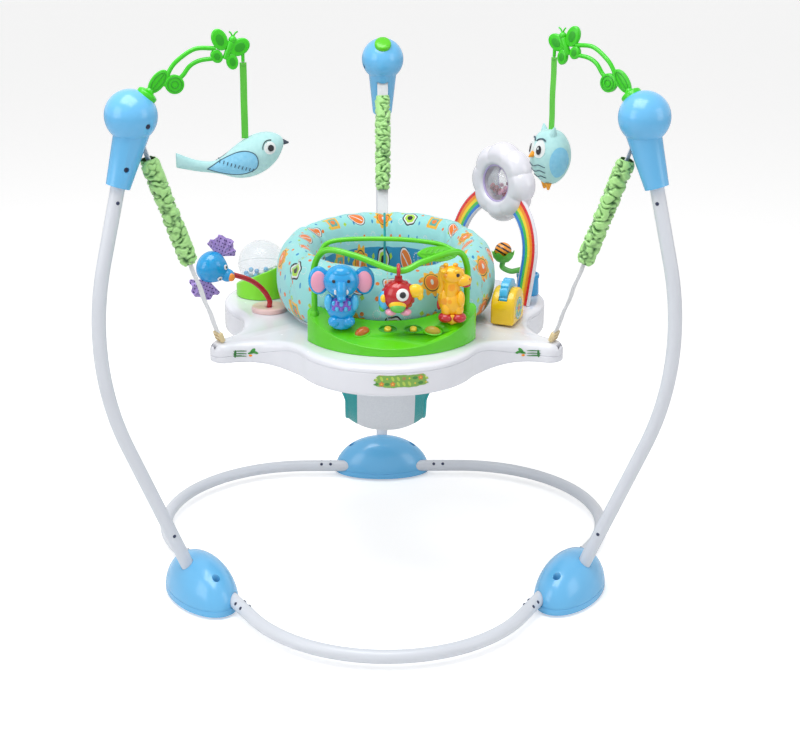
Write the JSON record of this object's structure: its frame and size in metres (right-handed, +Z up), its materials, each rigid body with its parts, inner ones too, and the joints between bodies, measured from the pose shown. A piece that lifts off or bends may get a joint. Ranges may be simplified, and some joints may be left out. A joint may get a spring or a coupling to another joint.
{
  "type": "baby bouncing activity seat",
  "caption": "Three-legged tubular frame with a padded swivel seat in a toy tray that bounces on sprung straps, with spinning, turning and hanging toys.",
  "frame": {"origin": "middle of the floor area, on the floor", "axes": "+Z up, +Y to the back of the seat, +X to the right as seen from the front"},
  "size_m": [0.904, 0.952, 0.9364],
  "materials": {
    "tube_paint": "satin powder coat",
    "sky_blue": "glossy",
    "lime": "glossy",
    "pale_lime": "glossy",
    "tray_white": "glossy",
    "webbing": "woven webbing",
    "sleeve_green": "gathered satin",
    "tan": "satin",
    "pad_aqua": "printed quilted cloth",
    "sling_grey": "woven cloth",
    "elephant_blue": "glossy",
    "parrot_red": "glossy",
    "giraffe_yellow": "glossy",
    "clear_plastic": "clear",
    "lens_orange": "clear tinted",
    "lens_amber": "clear tinted",
    "button_yellow": "glossy",
    "bead_mix": "glossy",
    "bead_blue": "glossy",
    "cloud_white": "glossy",
    "wing_purple": "printed cloth",
    "ribbon_green": "woven ribbon",
    "plush_mint": "short plush"
  },
  "bodies": {
    "frame": {"base_tube_front": "tube_paint", "base_tube_left": "tube_paint", "base_tube_right": "tube_paint", "foot_left": "sky_blue", "foot_right": "sky_blue", "foot_rear": "sky_blue", "upright_left": "tube_paint", "upright_right": "tube_paint", "upright_rear": "tube_paint", "head_left": "sky_blue", "head_right": "sky_blue", "head_rear": "sky_blue", "head_cap_rear": "pale_lime", "toy_arm_left": "lime", "toy_arm_right": "lime", "spring_left": "webbing", "spring_right": "webbing", "spring_rear": "webbing", "sleeve_left": "sleeve_green", "sleeve_right": "sleeve_green", "sleeve_rear": "sleeve_green"},
    "tray": {"tray_top": "tray_white", "tray_base": "tray_white", "strap_left": "webbing", "strap_right": "webbing", "strap_rear": "webbing", "strap_clip_left": "tan", "strap_clip_right": "tan", "strap_clip_rear": "tan", "console_base": "lime", "console_arch": "lime", "lens_orange": "lens_orange", "lens_amber": "lens_amber", "rainbow_arch": "cloud_white", "clicker_body": "button_yellow", "flower_base": "elephant_blue", "dome_base": "lime", "stalk_cup": "parrot_red"},
    "seat": {"seat_ring": "tray_white", "seat_collar": "pad_aqua", "seat_sling": "sling_grey"},
    "stalk_toy": {"stalk": "parrot_red", "bug_body": "elephant_blue", "bug_wings": "wing_purple"},
    "bead_dome": {"bead_dome": "clear_plastic", "dome_beads": "bead_blue"},
    "elephant": {"elephant": "elephant_blue"},
    "giraffe": {"giraffe": "giraffe_yellow"},
    "parrot": {"parrot": "parrot_red"},
    "button_left": {"button_left": "button_yellow"},
    "button_right": {"button_right": "button_yellow"},
    "rattle": {"rattle_ball": "clear_plastic", "rattle_beads": "bead_mix"},
    "clicker_wheel": {"clicker_wheel": "elephant_blue"},
    "flower_spinner": {"flower_spinner": "lime"},
    "bird": {"ribbon_left": "ribbon_green", "bird": "plush_mint"},
    "owl": {"ribbon_right": "ribbon_green", "owl": "plush_mint"}
  },
  "joints": [
    {"name": "tray_bounce", "type": "slide", "parent": "frame", "child": "tray", "axis": [0, 0, 1], "range_m": [-0.07, 0.03], "stiffness_N_per_m": 1500, "springref_m": 0.01239, "deforming": ["spring_left", "spring_right", "spring_rear", "sleeve_left", "sleeve_right", "sleeve_rear"]},
    {"name": "seat_swivel", "type": "hinge", "parent": "tray", "child": "seat", "pos_m": [0, -0.04359, 0.4475], "axis": [0, 0, 1], "continuous": true},
    {"name": "stalk_flex", "type": "hinge", "parent": "tray", "child": "stalk_toy", "pos_m": [-0.197, -0.04359, 0.4548], "axis": [0.506, -0.8625, 0], "range_deg": [-15, 20], "stiffness_Nm_per_rad": 0.6},
    {"name": "dome_spin", "type": "hinge", "parent": "tray", "child": "bead_dome", "pos_m": [-0.215, 0.05641, 0.503], "axis": [0, 0, 1], "continuous": true},
    {"name": "elephant_turn", "type": "hinge", "parent": "tray", "child": "elephant", "pos_m": [-0.072, -0.24759, 0.48], "axis": [0, 0, 1], "range_deg": [-25, 25]},
    {"name": "giraffe_turn", "type": "hinge", "parent": "tray", "child": "giraffe", "pos_m": [0.101, -0.23659, 0.48444], "axis": [0, 0, 1], "range_deg": [-25, 25]},
    {"name": "parrot_swing", "type": "hinge", "parent": "tray", "child": "parrot", "pos_m": [0.016, -0.25859, 0.575], "axis": [1, 0, 0], "range_deg": [-35, 6]},
    {"name": "button_left_press", "type": "slide", "parent": "tray", "child": "button_left", "axis": [0, 0.3746, -0.9272], "range_m": [0, 0.0025], "stiffness_N_per_m": 200, "springref_m": -0.001},
    {"name": "button_right_press", "type": "slide", "parent": "tray", "child": "button_right", "axis": [0, 0.3746, -0.9272], "range_m": [0, 0.0025], "stiffness_N_per_m": 200, "springref_m": -0.001},
    {"name": "rattle_spin", "type": "hinge", "parent": "tray", "child": "rattle", "pos_m": [0.20759, 0.09381, 0.64], "axis": [0, 0, 1], "continuous": true},
    {"name": "clicker_spin", "type": "hinge", "parent": "tray", "child": "clicker_wheel", "pos_m": [0.20082, -0.10499, 0.4938], "axis": [0.9272, -0.3746, 0], "continuous": true},
    {"name": "flower_spin", "type": "hinge", "parent": "tray", "child": "flower_spinner", "pos_m": [0.206, 0.04641, 0.508], "axis": [0, 0, 1], "continuous": true},
    {"name": "bird_swing", "type": "hinge", "parent": "frame", "child": "bird", "pos_m": [-0.21688, -0.22266, 0.8869], "axis": [0.9703, 0.2419, 0], "range_deg": [-30, 30]},
    {"name": "owl_swing", "type": "hinge", "parent": "frame", "child": "owl", "pos_m": [0.25731, -0.1482, 0.8869], "axis": [-0.7314, 0.682, 0], "range_deg": [-30, 30]}
  ]
}
